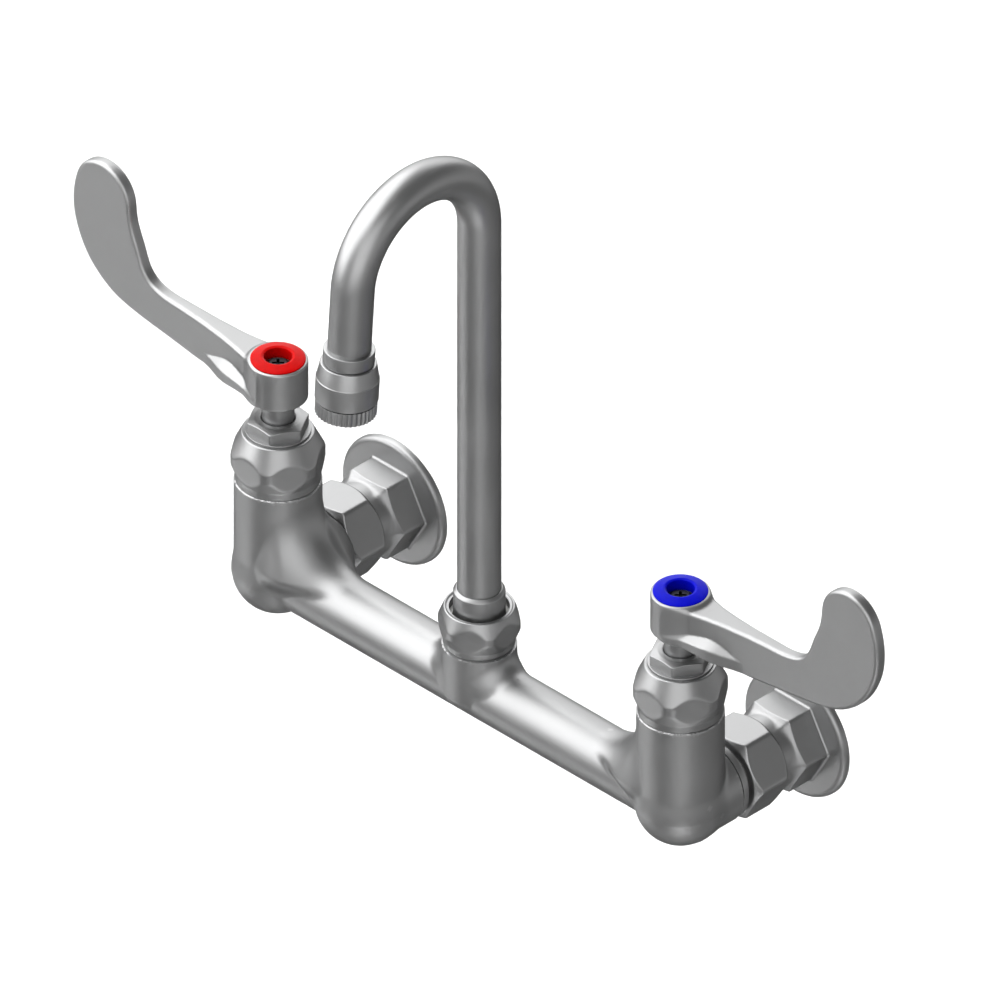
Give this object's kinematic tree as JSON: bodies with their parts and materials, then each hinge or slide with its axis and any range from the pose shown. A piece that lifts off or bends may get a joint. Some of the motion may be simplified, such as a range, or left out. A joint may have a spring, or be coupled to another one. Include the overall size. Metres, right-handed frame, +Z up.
{
  "type": "wall mounted mixing faucet",
  "caption": "Wall mounted mixing faucet with two wrist blade handles, a swivel gooseneck with aerator, and flanged union inlets.",
  "frame": {"origin": "on the wall plane, midway between the two inlet axes and at their height", "axes": "+X along the body to the cold side, +Y into the wall, +Z up"},
  "size_m": [0.4066, 0.1389, 0.2665],
  "materials": {
    "chrome_casting": "satin chrome plated cast brass",
    "chrome_turned": "chrome plated machined brass",
    "chrome_tube": "chrome plated drawn brass tube",
    "chrome_blade": "satin chrome plated cast handle",
    "stem_brass": "plated brass stem",
    "cartridge_brass": "machined brass",
    "screw_steel": "blackened steel",
    "hot_red": "glossy red plastic",
    "cold_blue": "glossy blue plastic",
    "seal_rubber": "black rubber",
    "fibre_washer": "red brown fibre",
    "white_ptfe": "white low friction plastic",
    "fixed_ceramic": "fine ground ceramic",
    "moving_ceramic": "dark fine ground ceramic",
    "core_plastic": "moulded plastic",
    "screen_steel": "woven steel mesh"
  },
  "bodies": {
    "body": {"body_casting": "chrome_casting", "hot_inlet_flange": "chrome_casting", "hot_union_nut": "chrome_turned", "hot_union_washer": "fibre_washer", "hot_seat_seal": "seal_rubber", "hot_fixed_disc": "fixed_ceramic", "hot_cartridge_body": "cartridge_brass", "hot_bonnet_nut": "chrome_turned", "hot_packing_ring": "white_ptfe", "hot_packing_nut": "chrome_turned", "cold_inlet_flange": "chrome_casting", "cold_union_nut": "chrome_turned", "cold_union_washer": "fibre_washer", "cold_seat_seal": "seal_rubber", "cold_fixed_disc": "fixed_ceramic", "cold_cartridge_body": "cartridge_brass", "cold_bonnet_nut": "chrome_turned", "cold_packing_ring": "white_ptfe", "cold_packing_nut": "chrome_turned", "spout_nut": "chrome_turned", "spout_bearing_washer": "white_ptfe"},
    "hot_valve": {"hot_moving_disc": "moving_ceramic", "hot_stem": "stem_brass", "hot_stem_o_ring": "seal_rubber", "hot_handle": "chrome_blade", "hot_handle_screw": "screw_steel", "hot_index_ring": "hot_red"},
    "cold_valve": {"cold_moving_disc": "moving_ceramic", "cold_stem": "stem_brass", "cold_stem_o_ring": "seal_rubber", "cold_handle": "chrome_blade", "cold_handle_screw": "screw_steel", "cold_index_ring": "cold_blue"},
    "spout": {"spout_sleeve": "chrome_turned", "spout_o_rings": "seal_rubber", "gooseneck_tube": "chrome_tube", "outlet_collar": "chrome_turned", "aerator_washer": "seal_rubber", "aerator_housing": "chrome_turned", "aerator_core": "core_plastic", "aerator_screen": "screen_steel", "aerator_ring": "chrome_turned"}
  },
  "joints": [
    {"name": "hot_handle_turn", "type": "hinge", "parent": "body", "child": "hot_valve", "pos_m": [-0.1016, -0.0603, 0.075], "axis": [0, 0, 1], "range_deg": [0, 90]},
    {"name": "cold_handle_turn", "type": "hinge", "parent": "body", "child": "cold_valve", "pos_m": [0.1016, -0.0603, 0.075], "axis": [0, 0, 1], "range_deg": [-90, 0]},
    {"name": "spout_swivel", "type": "hinge", "parent": "body", "child": "spout", "pos_m": [0, -0.0603, 0.02], "axis": [0, 0, 1], "range_deg": [-130, 130]}
  ]
}
